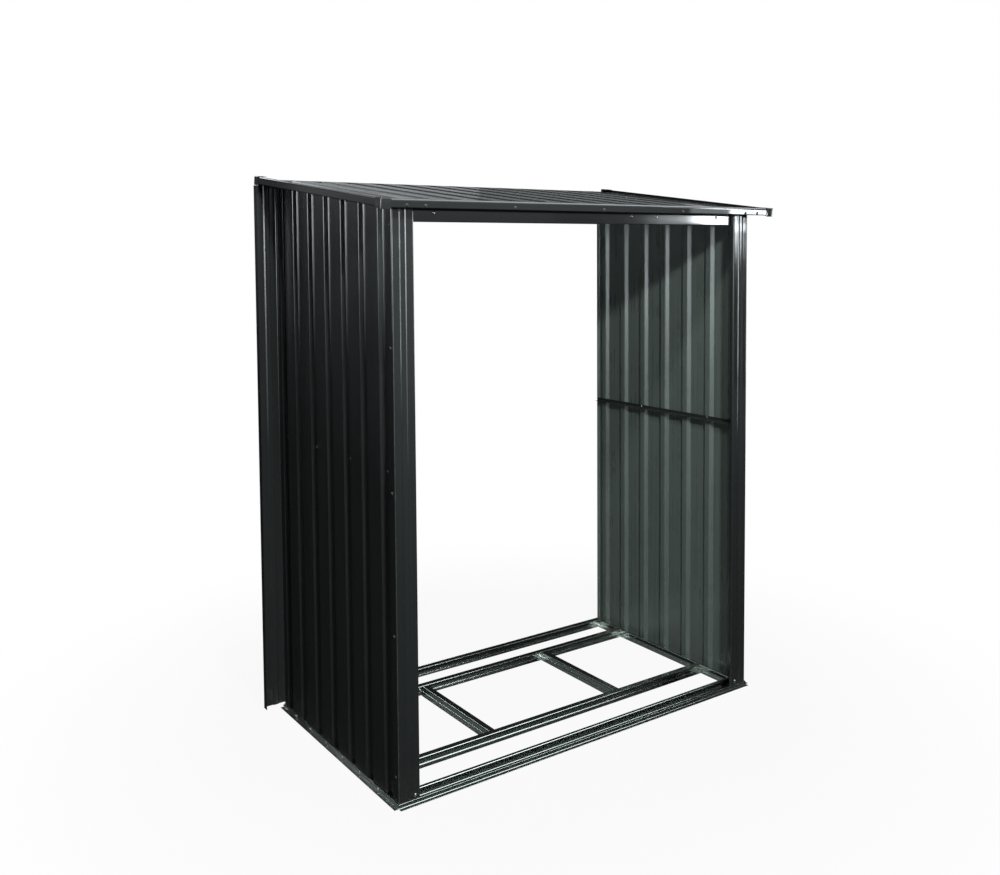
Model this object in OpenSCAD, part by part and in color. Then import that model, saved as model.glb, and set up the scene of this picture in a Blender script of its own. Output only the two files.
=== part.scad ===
// Open-fronted steel log store with corrugated side walls and a pent roof.
// Millimetres. X runs left to right, the open front faces -Y and Z is up.
// The origin lies on the ground under the middle of the overall box.

/* [Base frame] */
// Width between the outer faces of the two side sills
frame_w = 1528; // [1200:1:2000]
// Depth between the outer faces of the front and back sills
frame_d = 840; // [640:1:1100]
// Steel thickness of the base frame
frame_t = 1.2; // [0.8:0.1:2]
// Reach of the ground flange outside each sill
sill_flange = 14; // [8:1:20]
// Height of the outer web of a sill
sill_web_h = 13; // [9:1:17]
// Depth of the hem folded down inside the outer web
sill_hem = 5; // [3:1:7]
// Width of the channel that holds the posts and sheets
sill_channel = 32; // [28:1:40]
// Height of the raised inner part of a sill
sill_h = 24; // [20:1:36]
// Width of the raised inner part of a sill
sill_top = 15; // [10:1:25]
// Reach of the foot on the inside of a sill
sill_foot = 17; // [10:1:25]

/* [Floor beams] */
// Width of each flange of the floor beams
beam_flange = 23; // [15:1:32]
// Distance between the webs of the two floor beams
beam_spacing = 463; // [300:1:500]
// Distance between the webs of the two cross beams
cross_spacing = 570; // [300:1:800]

/* [Posts] */
// Steel thickness of the posts, rails, headers and roof trims
trim_t = 1; // [0.6:0.1:1.5]
// Width of the leaf of a post
post_leaf = 75; // [62:1:100]
// Reach of the side leg of a post along the wall
post_leg = 31; // [20:1:40]
// Distance from the corner of a post to the groove in its leaf
groove_from = 25; // [18:1:30]
// Width of the groove in the leaf of a post
groove_w = 24; // [16:1:28]
// Depth of the groove in the leaf of a post
groove_depth = 3; // [1:0.5:5]
// Reach of the fold at the inner edge of a front post
front_return = 10; // [6:1:22]
// Width of the outward leaf of a back post
wing_leaf = 84; // [62:1:100]
// Height of the lower end of the outward leaves at the back
wing_z = 20; // [18:1:40]

/* [Corrugated sheets] */
// Thickness of the corrugated sheets
sheet_t = 0.8; // [0.5:0.1:1.2]
// Overall depth of the corrugation
rib_depth = 12; // [8:1:15]
// Width of the flat top of a rib
rib_crest = 24; // [16:1:32]
// Run of each sloping flank of a rib
rib_flank = 12; // [6:1:16]
// Distance between the ribs of a wall
wall_pitch = 121; // [90:1:150]
// Distance from the front sill's outer face to the first rib of a wall
wall_first = 66; // [45:1:80]
// Reach of the fold at the back edge of a wall
wall_fold = 12; // [4:1:14]
// Distance between the ribs of the roof
roof_pitch = 118; // [90:1:150]
// Least flat beside the outermost ribs of the roof
roof_edge = 70; // [30:1:100]

/* [Rails and headers] */
// Height of the headers, measured on the face nearest the open side
header_h = 49; // [30:1:120]
// Depth of the headers from front to back
header_d = 20; // [12:1:30]
// Set-back of the front header from the front sill's outer face
header_set = 18; // [12:1:24]
// Set-back of the back header from the back sill's outer face
back_header_set = 8; // [6:1:30]
// Height of the middle of the mid rails above the ground
mid_rail_z = 1006; // [600:1:1300]
// Width of each leg of the mid rails
mid_rail_w = 14; // [8:1:25]
// Set-back of the mid rails from the back edge of the wall
mid_rail_set = 8; // [2:1:30]
// Width of each leg of the sloping top rails
top_rail_w = 25; // [15:1:40]

/* [Roof] */
// Height of the underside of the roof sheets at the front edge
roof_front_z = 1789; // [1500:1:2200]
// Rise of the roof from its front edge to its back edge
roof_rise = 123; // [60:1:200]
// Overhang of the roof in front of the front sill
front_overhang = 57; // [30:1:120]
// Overhang of the roof behind the back sill
back_overhang = 23; // [22:1:80]
// Overhang of the roof beside each side sill
side_overhang = 64; // [40:1:120]
// Height of the face of the roof trims
fascia_h = 26; // [22:1:40]
// Reach of the roof trims below the roof sheets
trim_drop = 3; // [2.5:0.5:8]
// Width of the upper flange of the roof trims
fascia_top = 14; // [8:1:25]
// Width of the lower lip of the roof trims
fascia_lip = 10; // [5:1:20]
// Reach of each corner cap along the roof edges
cap_len = 34; // [26:1:60]
// Reach of the corner caps below the roof trims
cap_drop = 4; // [0:1:8]

/* [Clearances] */
// Gap between pieces that stand against each other
fit = 0.3; // [0.2:0.05:0.5]
// Gap between two sheets where they lap on a rib
lap = 0.1; // [0.05:0.05:0.3]
// Set-back of a lapped sheet's edge from the flank beside it
lap_set = 2; // [1:0.5:4]

/* [Hidden] */

coated = "#2f3537";
galvanised = "#8b948f";

// Overall plan, with the roof's box centred on the origin
half_w = frame_w / 2;
roof_d = frame_d + front_overhang + back_overhang;
roof_w = frame_w + 2 * side_overhang;
y_front = front_overhang - roof_d / 2;
y_back = y_front + frame_d;
y_mid = (y_front + y_back) / 2;

// Sill section, measured inwards from its outer face
sill_in = sill_channel + sill_top;
sill_all = sill_in + sill_foot;
stand_z = frame_t + fit;
post_in = 2 * frame_t + fit;
leaf_in = post_in + trim_t + fit;
post_return = sill_channel - post_in - fit;
groove_slope = groove_w / 6;

// Corrugation, measured from the outer face of the flats
crest_line = rib_depth - sheet_t;
lap_depth = rib_depth + lap;
rib_all = lap_depth + sheet_t;
rib_half = rib_crest / 2 + rib_flank;
wall_in = leaf_in + rib_all + fit;

// Wall ribs, counted from the front
wall_y0 = y_front + leaf_in;
wall_y1 = y_back - post_in;
wall_ribs = floor((wall_y1 - rib_half - y_front - wall_first) / wall_pitch) + 1;
wall_split = floor(wall_ribs / 2);
function wall_rib(i) = y_front + wall_first + wall_pitch * i;

// Roof in its own sloping frame: Y up the slope, Z away from the underside of the sheets
slope = atan(roof_rise / roof_d);
roof_len = roof_d / cos(slope);
trim_top = max(fascia_h - trim_drop, rib_all + fit + trim_t);
cap_out = fit + trim_t;
roof_shift = (trim_top + cap_out - trim_drop - cap_drop) * sin(slope) / 2;
sheet_len = roof_len - 2 * (trim_t + fit);
sheet_half = roof_w / 2 - trim_t - fit;
roof_ribs = floor(2 * (sheet_half - rib_half - roof_edge) / roof_pitch) + 1;
roof_split_1 = floor(roof_ribs / 3);
roof_split_2 = roof_ribs - 1 - roof_split_1;
function roof_rib(i) = (i - (roof_ribs - 1) / 2) * roof_pitch;

// Floor beams
beam_z0 = frame_t + fit;
beam_z1 = sill_h;
beam_half = half_w - sill_in - fit;
cross_z0 = beam_z0 + frame_t + fit;
cross_z1 = beam_z1 - frame_t - fit;

// Headers
header_half = half_w - post_in - post_leaf - fit;
header_y = y_front + header_set;
header_z = under_roof(header_y) - header_h;
back_header_half = half_w - wall_in;
back_header_y = y_back - back_header_set;
back_header_z = under_roof(back_header_y) - header_h;

far = 4 * (frame_w + roof_front_z);

// Height of the underside of the roof sheets at a place along Y
function under_roof(y) = roof_front_z + roof_rise / 2 + (y - roof_shift) * tan(slope);

// Points of one rib, from the front or left flat to the next flat
function rib(c) = [
    [c - rib_half, 0],
    [c - rib_crest / 2, crest_line],
    [c + rib_crest / 2, crest_line],
    [c + rib_half, 0]
];

// Start of a sheet that laps over the rib at c of the sheet before it
function lap_over(c) = [
    [c - rib_crest / 2 + lap_set, lap_depth],
    [c + rib_crest / 2, lap_depth],
    [c + rib_half, 0]
];

// End of a sheet whose last rib, at c, lies under the next sheet
function lap_under(c) = [
    [c - rib_half, 0],
    [c - rib_crest / 2, crest_line],
    [c + rib_crest / 2 - lap_set, crest_line]
];

// Outer line of a sheet's section from its first to its last rib centre.
// An edge is a place where the sheet ends flat, or undef where it laps on a rib.
function sheet_line(ribs, edge_0, edge_1) = concat(
    is_undef(edge_0) ? lap_over(ribs[0]) : concat([[edge_0, 0]], rib(ribs[0])),
    [for (i = [1 : 1 : len(ribs) - 2]) each rib(ribs[i])],
    is_undef(edge_1) ? lap_under(ribs[len(ribs) - 1])
        : concat(rib(ribs[len(ribs) - 1]), [[edge_1, 0]])
);

// Closed section between a line and the same line moved by the sheet's thickness,
// with a fold of the given reach where the line ends
function thicken(line, t, fold = 0) = let (end = line[len(line) - 1]) concat(
    line,
    fold > t ? [end + [0, fold], end + [-t, fold], end + [-t, t]] : [end + [0, t]],
    [for (i = [len(line) - 2 : -1 : 0]) line[i] + [0, t]]
);

// Rectangle between two corners
module strip(x0, y0, x1, y1) {
    translate([x0, y0]) square([x1 - x0, y1 - y0]);
}

// Extrudes a section drawn in YZ along X, centred
module along_x(length) {
    rotate([90, 0, 90]) linear_extrude(length, center = true) children();
}

// Places children in the sloping frame of the roof
module on_roof() {
    translate([0, roof_shift, roof_front_z + roof_rise / 2]) rotate([slope, 0, 0]) children();
}

// Keeps what lies at least the given drop below the underside of the roof sheets
module below_roof(drop) {
    intersection() {
        children();
        on_roof() translate([-far / 2, -far / 2, -far - drop]) cube(far);
    }
}

// Repeats a left-hand piece on the right
module right_hand() {
    mirror([1, 0, 0]) children();
}

// Raised section of a sill, from the outer web to the foot on the inside
module sill_section() {
    strip(0, 0, frame_t, sill_web_h);
    strip(0, sill_web_h - sill_hem, 2 * frame_t, sill_web_h);
    strip(0, 0, sill_channel + frame_t, frame_t);
    strip(sill_channel, 0, sill_channel + frame_t, sill_h);
    strip(sill_channel, sill_h - frame_t, sill_in, sill_h);
    strip(sill_in - frame_t, 0, sill_in, sill_h);
    strip(sill_in - frame_t, 0, sill_all, frame_t);
}

// One sill with mitred ends and a ground flange that stops short of the corners
module sill(length) {
    reach = length / 2 - fit;
    intersection() {
        along_x(length) sill_section();
        linear_extrude(sill_h) polygon([
            [-reach, 0],
            [reach, 0],
            [reach - sill_all, sill_all],
            [sill_all - reach, sill_all]
        ]);
    }
    translate([-reach, -sill_flange, 0]) cube([2 * reach, sill_flange, frame_t]);
}

module front_sill() {
    color(galvanised) translate([0, y_front, 0]) sill(frame_w);
}

module back_sill() {
    color(galvanised) translate([0, y_back, 0]) rotate(180) sill(frame_w);
}

module left_sill() {
    color(galvanised) translate([-half_w, y_mid, 0]) rotate(-90) sill(frame_d);
}

module right_sill() {
    color(galvanised) translate([half_w, y_mid, 0]) rotate(90) sill(frame_d);
}

// Z section with its web at the origin, the lower flange to -X and the upper flange to +X
module z_section(z0, z1) {
    strip(0, z0, frame_t, z1);
    strip(frame_t - beam_flange, z0, frame_t, z0 + frame_t);
    strip(0, z1 - frame_t, beam_flange, z1);
}

// Floor beam from sill to sill, with a tab at each end that stands against the sill
module floor_beam() {
    along_x(2 * beam_half) z_section(beam_z0, beam_z1);
    for (side = [-1, 1])
        translate([side * (beam_half - frame_t / 2) - frame_t / 2, 0, beam_z0])
            cube([frame_t, beam_flange, beam_z1 - beam_z0]);
}

module front_floor_beam() {
    color(galvanised) translate([0, y_mid - beam_spacing / 2, 0]) floor_beam();
}

module back_floor_beam() {
    color(galvanised) translate([0, y_mid + beam_spacing / 2, 0]) floor_beam();
}

// Cross beam between the webs of the two floor beams, with a tab at each end
module cross_beam() {
    y0 = y_mid - beam_spacing / 2 + frame_t + fit;
    y1 = y_mid + beam_spacing / 2 - fit;
    translate([0, y1, 0]) rotate([90, 0, 0])
        linear_extrude(y1 - y0) z_section(cross_z0, cross_z1);
    for (y = [y0, y1 - frame_t])
        translate([0, y, cross_z0]) cube([beam_flange, frame_t, cross_z1 - cross_z0]);
}

module left_cross_beam() {
    color(galvanised) translate([-cross_spacing / 2, 0, 0]) cross_beam();
}

module right_cross_beam() {
    color(galvanised) translate([cross_spacing / 2, 0, 0]) cross_beam();
}

// Post section with its corner at the origin: leaf along +X, side leg along +Y,
// and a fold of the given reach at the free edge of the leaf
module post_section(leaf, fold) {
    groove_to = groove_from + groove_w;
    strip(0, 0, trim_t, post_leg);
    polygon(thicken([
        [0, 0],
        [groove_from, 0],
        [groove_from + groove_slope, groove_depth],
        [groove_to - groove_slope, groove_depth],
        [groove_to, 0],
        [leaf, 0]
    ], trim_t));
    strip(leaf - trim_t, 0, leaf, fold);
}

// Front post, with its leaf turned in across the opening
module front_post() {
    color(coated) below_roof(fit)
        translate([-half_w + post_in, y_front + post_in, stand_z])
            linear_extrude(roof_front_z + roof_rise) post_section(post_leaf, front_return);
}

// Back post: the same section turned half round, so that its leaf points outwards.
// It reaches up to the roof trims, and beside the roof only up to the corner cap.
module back_post() {
    corner_x = -half_w + post_in + trim_t;
    cap_z = -trim_drop - cap_drop - fit;
    color(coated) difference() {
        below_roof(trim_drop + fit)
            translate([corner_x, y_back - post_in, stand_z]) rotate(180)
                linear_extrude(roof_front_z + roof_rise) post_section(wing_leaf, post_return);
        translate([corner_x - trim_t - far, y_mid, -far + wing_z]) cube(far);
        on_roof() translate([-roof_w / 2 - far, -far / 2, cap_z]) cube(far);
    }
}

module front_left_post() {
    front_post();
}

module front_right_post() {
    right_hand() front_post();
}

module back_left_post() {
    back_post();
}

module back_right_post() {
    right_hand() back_post();
}

// Wall sheet that stands in the sill channel, from its section's outer line
module wall_sheet(line, fold) {
    color(coated) below_roof(fit)
        translate([-half_w + leaf_in, 0, stand_z])
            linear_extrude(roof_front_z + roof_rise)
                polygon([for (p = thicken(line, sheet_t, fold)) [p[1], p[0]]]);
}

module wall_front_sheet() {
    wall_sheet(sheet_line([for (i = [0 : wall_split]) wall_rib(i)], wall_y0, undef), 0);
}

module wall_back_sheet() {
    wall_sheet(
        sheet_line([for (i = [wall_split : wall_ribs - 1]) wall_rib(i)], undef, wall_y1),
        min(wall_fold, rib_depth)
    );
}

module left_wall_front_sheet() {
    wall_front_sheet();
}

module left_wall_back_sheet() {
    wall_back_sheet();
}

module right_wall_front_sheet() {
    right_hand() wall_front_sheet();
}

module right_wall_back_sheet() {
    right_hand() wall_back_sheet();
}

// Angle that ties the ribs of a wall together halfway up
module mid_rail() {
    x0 = -half_w + wall_in;
    z0 = mid_rail_z - mid_rail_w / 2;
    length = wall_y1 - wall_y0 - mid_rail_set;
    color(coated) translate([x0, wall_y0, z0]) {
        cube([trim_t, length, mid_rail_w]);
        cube([mid_rail_w, length, trim_t]);
    }
}

module left_mid_rail() {
    mid_rail();
}

module right_mid_rail() {
    right_hand() mid_rail();
}

// Sloping angle under the roof sheets, from the front post to the back header
module top_rail() {
    x0 = -half_w + wall_in;
    y1 = back_header_y - header_d - fit;
    color(coated) intersection() {
        on_roof() translate([x0, -roof_len / 2, -fit - top_rail_w]) {
            cube([trim_t, roof_len, top_rail_w]);
            translate([0, 0, top_rail_w - trim_t]) cube([top_rail_w, roof_len, trim_t]);
        }
        translate([-far / 2, wall_y0, 0]) cube([far, y1 - wall_y0, far]);
    }
}

module left_top_rail() {
    top_rail();
}

module right_top_rail() {
    right_hand() top_rail();
}

// Channel under the roof sheets with an upright face, open along Y in the given direction
module header(half, y, z, open) {
    color(coated) difference() {
        below_roof(fit) translate([-half, y, z]) cube([2 * half, header_d, far]);
        below_roof(fit + trim_t) translate([-half - fit, y + open * trim_t, z + trim_t])
            cube([2 * (half + fit), header_d, far]);
    }
}

module front_header() {
    header(header_half, header_y, header_z, 1);
}

module back_header() {
    header(back_header_half, back_header_y - header_d, back_header_z, -1);
}

// Roof sheet from its section's line, turned over so that the ribs hang below the flats
module roof_sheet(line) {
    turned = [for (p = line) [p[0], lap_depth - p[1]]];
    color(coated) on_roof() translate([0, sheet_len / 2, 0]) rotate([90, 0, 0])
        linear_extrude(sheet_len) polygon(thicken(turned, sheet_t));
}

module roof_left_sheet() {
    roof_sheet(sheet_line([for (i = [0 : roof_split_1]) roof_rib(i)], -sheet_half, undef));
}

module roof_middle_sheet() {
    roof_sheet(sheet_line([for (i = [roof_split_1 : roof_split_2]) roof_rib(i)], undef, undef));
}

module roof_right_sheet() {
    roof_sheet(sheet_line([for (i = [roof_split_2 : roof_ribs - 1]) roof_rib(i)], undef, sheet_half));
}

// Angle of a roof trim up to the given height: face at the origin, lower lip along +X
module trim_angle(top) {
    strip(0, -trim_drop, trim_t, top);
    strip(0, -trim_drop, fascia_lip, -trim_drop + trim_t);
}

// Channel of a roof trim: the angle with an upper flange along +X
module trim_section() {
    trim_angle(trim_top);
    strip(0, trim_top - trim_t, fascia_top, trim_top);
}

module front_fascia() {
    color(coated) on_roof() translate([0, -roof_len / 2, 0]) along_x(roof_w) trim_section();
}

// Back trim, level with the flats of the sheets so that it closes the ends of the ribs
module back_fascia() {
    color(coated) on_roof() translate([0, roof_len / 2, 0]) rotate(180)
        along_x(roof_w) trim_angle(rib_all);
}

// Side trim between the front and back trims
module verge_trim() {
    length = roof_len - 2 * (max(fascia_top, fascia_lip) + fit);
    color(coated) on_roof() translate([-roof_w / 2, length / 2, 0]) rotate([90, 0, 0])
        linear_extrude(length) trim_section();
}

module left_verge_trim() {
    verge_trim();
}

module right_verge_trim() {
    right_hand() verge_trim();
}

// Cap over a roof corner: top plate and two skirts, drawn for the front left
module corner_cap() {
    height = cap_drop + trim_drop + trim_top + cap_out;
    color(coated) translate([-roof_w / 2 - cap_out, -roof_len / 2 - cap_out, -trim_drop - cap_drop]) {
        translate([0, 0, height - trim_t]) cube([cap_len, cap_len, trim_t]);
        cube([cap_len, trim_t, height]);
        cube([trim_t, cap_len, height]);
    }
}

module front_left_corner_cap() {
    on_roof() corner_cap();
}

module front_right_corner_cap() {
    right_hand() on_roof() corner_cap();
}

module back_left_corner_cap() {
    on_roof() mirror([0, 1, 0]) corner_cap();
}

module back_right_corner_cap() {
    right_hand() on_roof() mirror([0, 1, 0]) corner_cap();
}

front_sill();
back_sill();
left_sill();
right_sill();
front_floor_beam();
back_floor_beam();
left_cross_beam();
right_cross_beam();
front_left_post();
front_right_post();
back_left_post();
back_right_post();
left_wall_front_sheet();
left_wall_back_sheet();
right_wall_front_sheet();
right_wall_back_sheet();
left_mid_rail();
right_mid_rail();
left_top_rail();
right_top_rail();
front_header();
back_header();
roof_left_sheet();
roof_middle_sheet();
roof_right_sheet();
front_fascia();
back_fascia();
left_verge_trim();
right_verge_trim();
front_left_corner_cap();
front_right_corner_cap();
back_left_corner_cap();
back_right_corner_cap();
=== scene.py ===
"""Open-fronted steel log store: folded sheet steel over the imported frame, lit in a plain studio."""
import math

import bmesh
import bpy
from mathutils import Matrix, Vector, noise


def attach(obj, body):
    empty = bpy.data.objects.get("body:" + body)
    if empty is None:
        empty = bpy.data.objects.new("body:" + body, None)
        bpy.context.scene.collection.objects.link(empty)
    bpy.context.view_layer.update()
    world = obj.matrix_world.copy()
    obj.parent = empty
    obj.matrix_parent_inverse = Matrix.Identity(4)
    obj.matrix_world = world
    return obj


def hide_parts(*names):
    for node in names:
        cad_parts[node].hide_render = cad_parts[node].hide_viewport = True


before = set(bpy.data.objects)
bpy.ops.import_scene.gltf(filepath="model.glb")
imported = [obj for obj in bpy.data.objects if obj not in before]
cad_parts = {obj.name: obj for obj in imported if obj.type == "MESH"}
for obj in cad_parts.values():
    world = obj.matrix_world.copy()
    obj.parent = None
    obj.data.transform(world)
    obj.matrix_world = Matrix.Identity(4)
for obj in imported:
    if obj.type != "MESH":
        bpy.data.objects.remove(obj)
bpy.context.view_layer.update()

MM = 0.001

# Sizes of the frame in millimetres
HALF_W = 764.0
Y_FRONT = -403.0
Y_BACK = 437.0
Y_MID = (Y_FRONT + Y_BACK) / 2
FIT = 0.3

SILL_STEEL = 0.6
SILL_FLANGE = 14.0
SILL_WEB_H = 13.0
SILL_HEM = 5.0
SILL_CHANNEL = 32.0
SILL_H = 24.0
SILL_IN = 47.0
SILL_ALL = 64.0
SILL_BENDS = (1.2, 1.2, 2.0, 0.5, 0.5, 2.0, 3.5, 3.5, 2.0)

BEAM_STEEL = 1.2
BEAM_FLANGE = 23.0
BEAM_BEND = 3.5
TAB_CLIP = 4.0
BEAM_Z0 = 1.5
BEAM_Z1 = 24.0
BEAM_SPACING = 463.0
CROSS_SPACING = 570.0
CROSS_Z0 = 3.0
CROSS_Z1 = 22.5

TRIM_STEEL = 1.0
STAND_Z = 1.5
POST_IN = 2.7
POST_LEAF = 75.0
WING_LEAF = 84.0
POST_LEG = 31.0
POST_RETURN = 29.0
FRONT_RETURN = 10.0
GROOVE_FROM = 25.0
GROOVE_TO = 49.0
GROOVE_SLOPE = 4.0
GROOVE_DEPTH = 3.0
GROOVE_CROWN = 0.35
WING_Z = 20.0
WING_STEP = 3.0
POST_BEND = 5.0

SHEET_STEEL = 0.8
LEAF_IN = 4.0
RIB_DEPTH = 12.0
RIB_CREST = 24.0
RIB_FLANK = 12.0
RIB_HALF = RIB_CREST / 2 + RIB_FLANK
RIB_BEND = 5.0
LAP_GAP = 0.1
LAP_DEPTH = RIB_DEPTH + LAP_GAP
LAP_SET = 2.0
RIB_ALL = LAP_DEPTH + SHEET_STEEL
WALL_IN = 17.2
WALL_Y0 = Y_FRONT + LEAF_IN
WALL_Y1 = Y_BACK - POST_IN
WALL_FOLD = 12.0
WALL_RIB_START = 66.0
WALL_RIB_PITCH = 121.0
WALL_RIB_COUNT = 7
WALL_RIBS = [Y_FRONT + WALL_RIB_START + WALL_RIB_PITCH * i for i in range(WALL_RIB_COUNT)]
WALL_SPLIT = 3

ROOF_D = 920.0
ROOF_W = 1656.0
ROOF_RISE = 123.0
ROOF_FRONT_Z = 1789.0
ROOF_RIB_PITCH = 118.0
ROOF_RIB_COUNT = 13
ROOF_RIBS = [ROOF_RIB_PITCH * (i - ROOF_RIB_COUNT // 2) for i in range(ROOF_RIB_COUNT)]
ROOF_SPLITS = (4, 8)
SLOPE = math.atan(ROOF_RISE / ROOF_D)
ROOF_LEN = ROOF_D / math.cos(SLOPE)
FASCIA_H = 26.0
FASCIA_TOP = 14.0
FASCIA_LIP = 10.0
TRIM_DROP = 3.0
TRIM_TOP = FASCIA_H - TRIM_DROP
TRIM_BENDS = (6.5, 2.2)
BACK_TRIM_BEND = 2.2
CAP_OUT = FIT + TRIM_STEEL
CAP_LEN = 34.0
CAP_DROP = 4.0
CAP_CLEAR = 3.0
CAP_BEND = 2.2
ROOF_SHIFT = (TRIM_TOP + CAP_OUT - TRIM_DROP - CAP_DROP) * math.sin(SLOPE) / 2
SHEET_LEN = ROOF_LEN - 2 * (TRIM_STEEL + FIT)
SHEET_HALF = ROOF_W / 2 - TRIM_STEEL - FIT

HEADER_H = 49.0
HEADER_D = 20.0
HEADER_BEND = 2.0
HEADER_SET = 18.0
HEADER_Y = Y_FRONT + HEADER_SET
HEADER_HALF = HALF_W - POST_IN - POST_LEAF - FIT
BACK_HEADER_SET = 8.0
BACK_HEADER_Y = Y_BACK - BACK_HEADER_SET
BACK_HEADER_HALF = HALF_W - WALL_IN
MID_RAIL_Z = 1006.0
MID_RAIL_W = 14.0
MID_RAIL_SET = 8.0
TOP_RAIL_W = 25.0
RAIL_BEND = 1.6

# Spacing of the mesh along a piece, the length that it is worked out from, and the sheets' slight waves
RUN_STEP = 60.0
WALL_STEP = 50.0
ROOF_STEP = 40.0
RIB_STEP = 12.0
POST_RUN = 1900.0
WALL_RUN = 1880.0
RAIL_RUN = 830.0
WALL_WAVE = 0.1
ROOF_WAVE = 0.12

# Roof frame: Y up the slope, Z away from the underside of the sheets
ROOF = Matrix.Translation((0, ROOF_SHIFT, ROOF_FRONT_Z + ROOF_RISE / 2)) @ Matrix.Rotation(SLOPE, 4, "X")


def under_roof(y):
    """Height of the underside of the roof sheets at a place along Y."""
    return ROOF_FRONT_Z + ROOF_RISE / 2 + (y - ROOF_SHIFT) * math.tan(SLOPE)


# Materials

ANTHRACITE = (0.0212, 0.0242, 0.0240)
BACK_COAT = (0.098, 0.124, 0.113)
ZINC = (0.37, 0.40, 0.375)
PLATED = (0.55, 0.56, 0.55)
DUST = (0.20, 0.19, 0.165)
RUBBER_DARK = (0.012, 0.012, 0.012)
RUBBER_PALE = (0.03, 0.03, 0.029)
POST_GLOSS = (0.09, 0.14)
RAIL_GLOSS = (0.07, 0.11)
BACK_GLOSS = (0.24, 0.34)
SCREW_GLOSS = (0.22, 0.30)
STREAK_RUN = 0.018


def add_node(tree, kind, **inputs):
    """New node with some of its input values set; underscores stand for spaces."""
    made = tree.nodes.new(kind)
    for key, value in inputs.items():
        made.inputs[key.replace("_", " ")].default_value = value
    return made


def add_noise(tree, vector, scale, detail=2.0, rough=0.5):
    """Noise texture on a vector."""
    made = add_node(tree, "ShaderNodeTexNoise", Scale=scale, Detail=detail, Roughness=rough)
    tree.links.new(vector, made.inputs["Vector"])
    return made.outputs["Fac"]


def add_range(tree, value, low, high, to_low, to_high):
    """Map range from one span to another, clamped and smooth."""
    made = add_node(tree, "ShaderNodeMapRange", From_Min=low, From_Max=high, To_Min=to_low, To_Max=to_high)
    made.interpolation_type = "SMOOTHSTEP"
    tree.links.new(value, made.inputs["Value"])
    return made.outputs["Result"]


def add_math(tree, operation, a, b):
    """Math node on two sockets, or on a socket and a number."""
    made = tree.nodes.new("ShaderNodeMath")
    made.operation = operation
    for slot, value in enumerate((a, b)):
        if isinstance(value, float):
            made.inputs[slot].default_value = value
        else:
            tree.links.new(value, made.inputs[slot])
    return made.outputs["Value"]


def add_mix(tree, factor, a, b):
    """Mix of two colours, each a socket or a triple."""
    made = tree.nodes.new("ShaderNodeMix")
    made.data_type = "RGBA"
    tree.links.new(factor, made.inputs["Factor"])
    for key, value in ((6, a), (7, b)):
        if isinstance(value, tuple):
            made.inputs[key].default_value = (*value, 1.0)
        else:
            tree.links.new(value, made.inputs[key])
    return made.outputs[2]


def add_bump(tree, height, distance, before=None):
    """Bump of a height in metres, on top of another bump."""
    made = add_node(tree, "ShaderNodeBump", Strength=1.0, Distance=distance)
    tree.links.new(height, made.inputs["Height"])
    if before is not None:
        tree.links.new(before, made.inputs["Normal"])
    return made.outputs["Normal"]


def empty_material(name):
    """Material with only its output node."""
    made = bpy.data.materials.new(name)
    made.use_nodes = True
    tree = made.node_tree
    tree.nodes.clear()
    return made, tree, tree.nodes.new("ShaderNodeOutputMaterial")


def new_material(name):
    """Material with a Principled shader."""
    made, tree, out = empty_material(name)
    shader = tree.nodes.new("ShaderNodeBsdfPrincipled")
    tree.links.new(shader.outputs["BSDF"], out.inputs["Surface"])
    return made, tree, shader


def streak_vector(tree, vector, run):
    """Coordinates drawn out along the rolling direction, one of X, Y or Z."""
    made = tree.nodes.new("ShaderNodeMapping")
    made.inputs["Scale"].default_value = [STREAK_RUN if axis == run else 1.0 for axis in "XYZ"]
    tree.links.new(vector, made.inputs["Vector"])
    return made.outputs["Vector"]


def rubbed_edges_and_bend_highlight(tree):
    """Wear of the sheet's cut edges, and a painted highlight on its bends, kept in the mesh."""
    made = tree.nodes.new("ShaderNodeAttribute")
    made.attribute_name = "edge"
    return made.outputs["Fac"]


def tint(colour, factor):
    """Colour made lighter or darker."""
    return tuple(min(1.0, part * factor) for part in colour)


def coat_material(name, colour, run, rough=(0.15, 0.23)):
    """Coil-coated steel: rolling streaks, faint clouding, a trace of dust low down, rubbed edges and a
    painted highlight on the bends.
    """
    made, tree, shader = new_material(name)
    place = tree.nodes.new("ShaderNodeTexCoord").outputs["Object"]
    streak = add_noise(tree, streak_vector(tree, place, run), 55.0, 3.0)
    cloud = add_noise(tree, place, 4.0, 4.0)
    peel = add_noise(tree, place, 600.0, 1.0)
    speck = add_noise(tree, place, 60.0, 4.0, 0.6)
    height = tree.nodes.new("ShaderNodeSeparateXYZ")
    tree.links.new(place, height.inputs["Vector"])
    low = add_range(tree, height.outputs["Z"], 0.16, 0.0, 0.0, 1.0)
    dust = add_math(tree, "MULTIPLY", low, add_range(tree, speck, 0.35, 0.75, 0.01, 0.06))
    # Lighter along the edge mark: wear on cut edges, painted highlight on bends
    worn_and_highlit = add_math(tree, "MULTIPLY", rubbed_edges_and_bend_highlight(tree), add_range(tree, speck, 0.45, 0.7, 0.05, 0.4))
    body = add_mix(tree, cloud, tint(colour, 0.88), tint(colour, 1.12))
    body = add_mix(tree, add_range(tree, streak, 0.3, 0.7, 0.0, 0.35), body, tint(colour, 1.3))
    body = add_mix(tree, dust, body, DUST)
    body = add_mix(tree, worn_and_highlit, body, tint(colour, 2.6))
    tree.links.new(body, shader.inputs["Base Color"])
    gloss = add_range(tree, add_math(tree, "ADD", streak, cloud), 0.6, 1.4, rough[0], rough[1])
    gloss = add_math(tree, "ADD", gloss, add_math(tree, "MULTIPLY", dust, 0.6))
    tree.links.new(gloss, shader.inputs["Roughness"])
    shader.inputs["Specular IOR Level"].default_value = 0.5
    relief = add_bump(tree, peel, 0.000002)
    relief = add_bump(tree, streak, 0.00007, relief)
    tree.links.new(relief, shader.inputs["Normal"])
    return made


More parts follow.
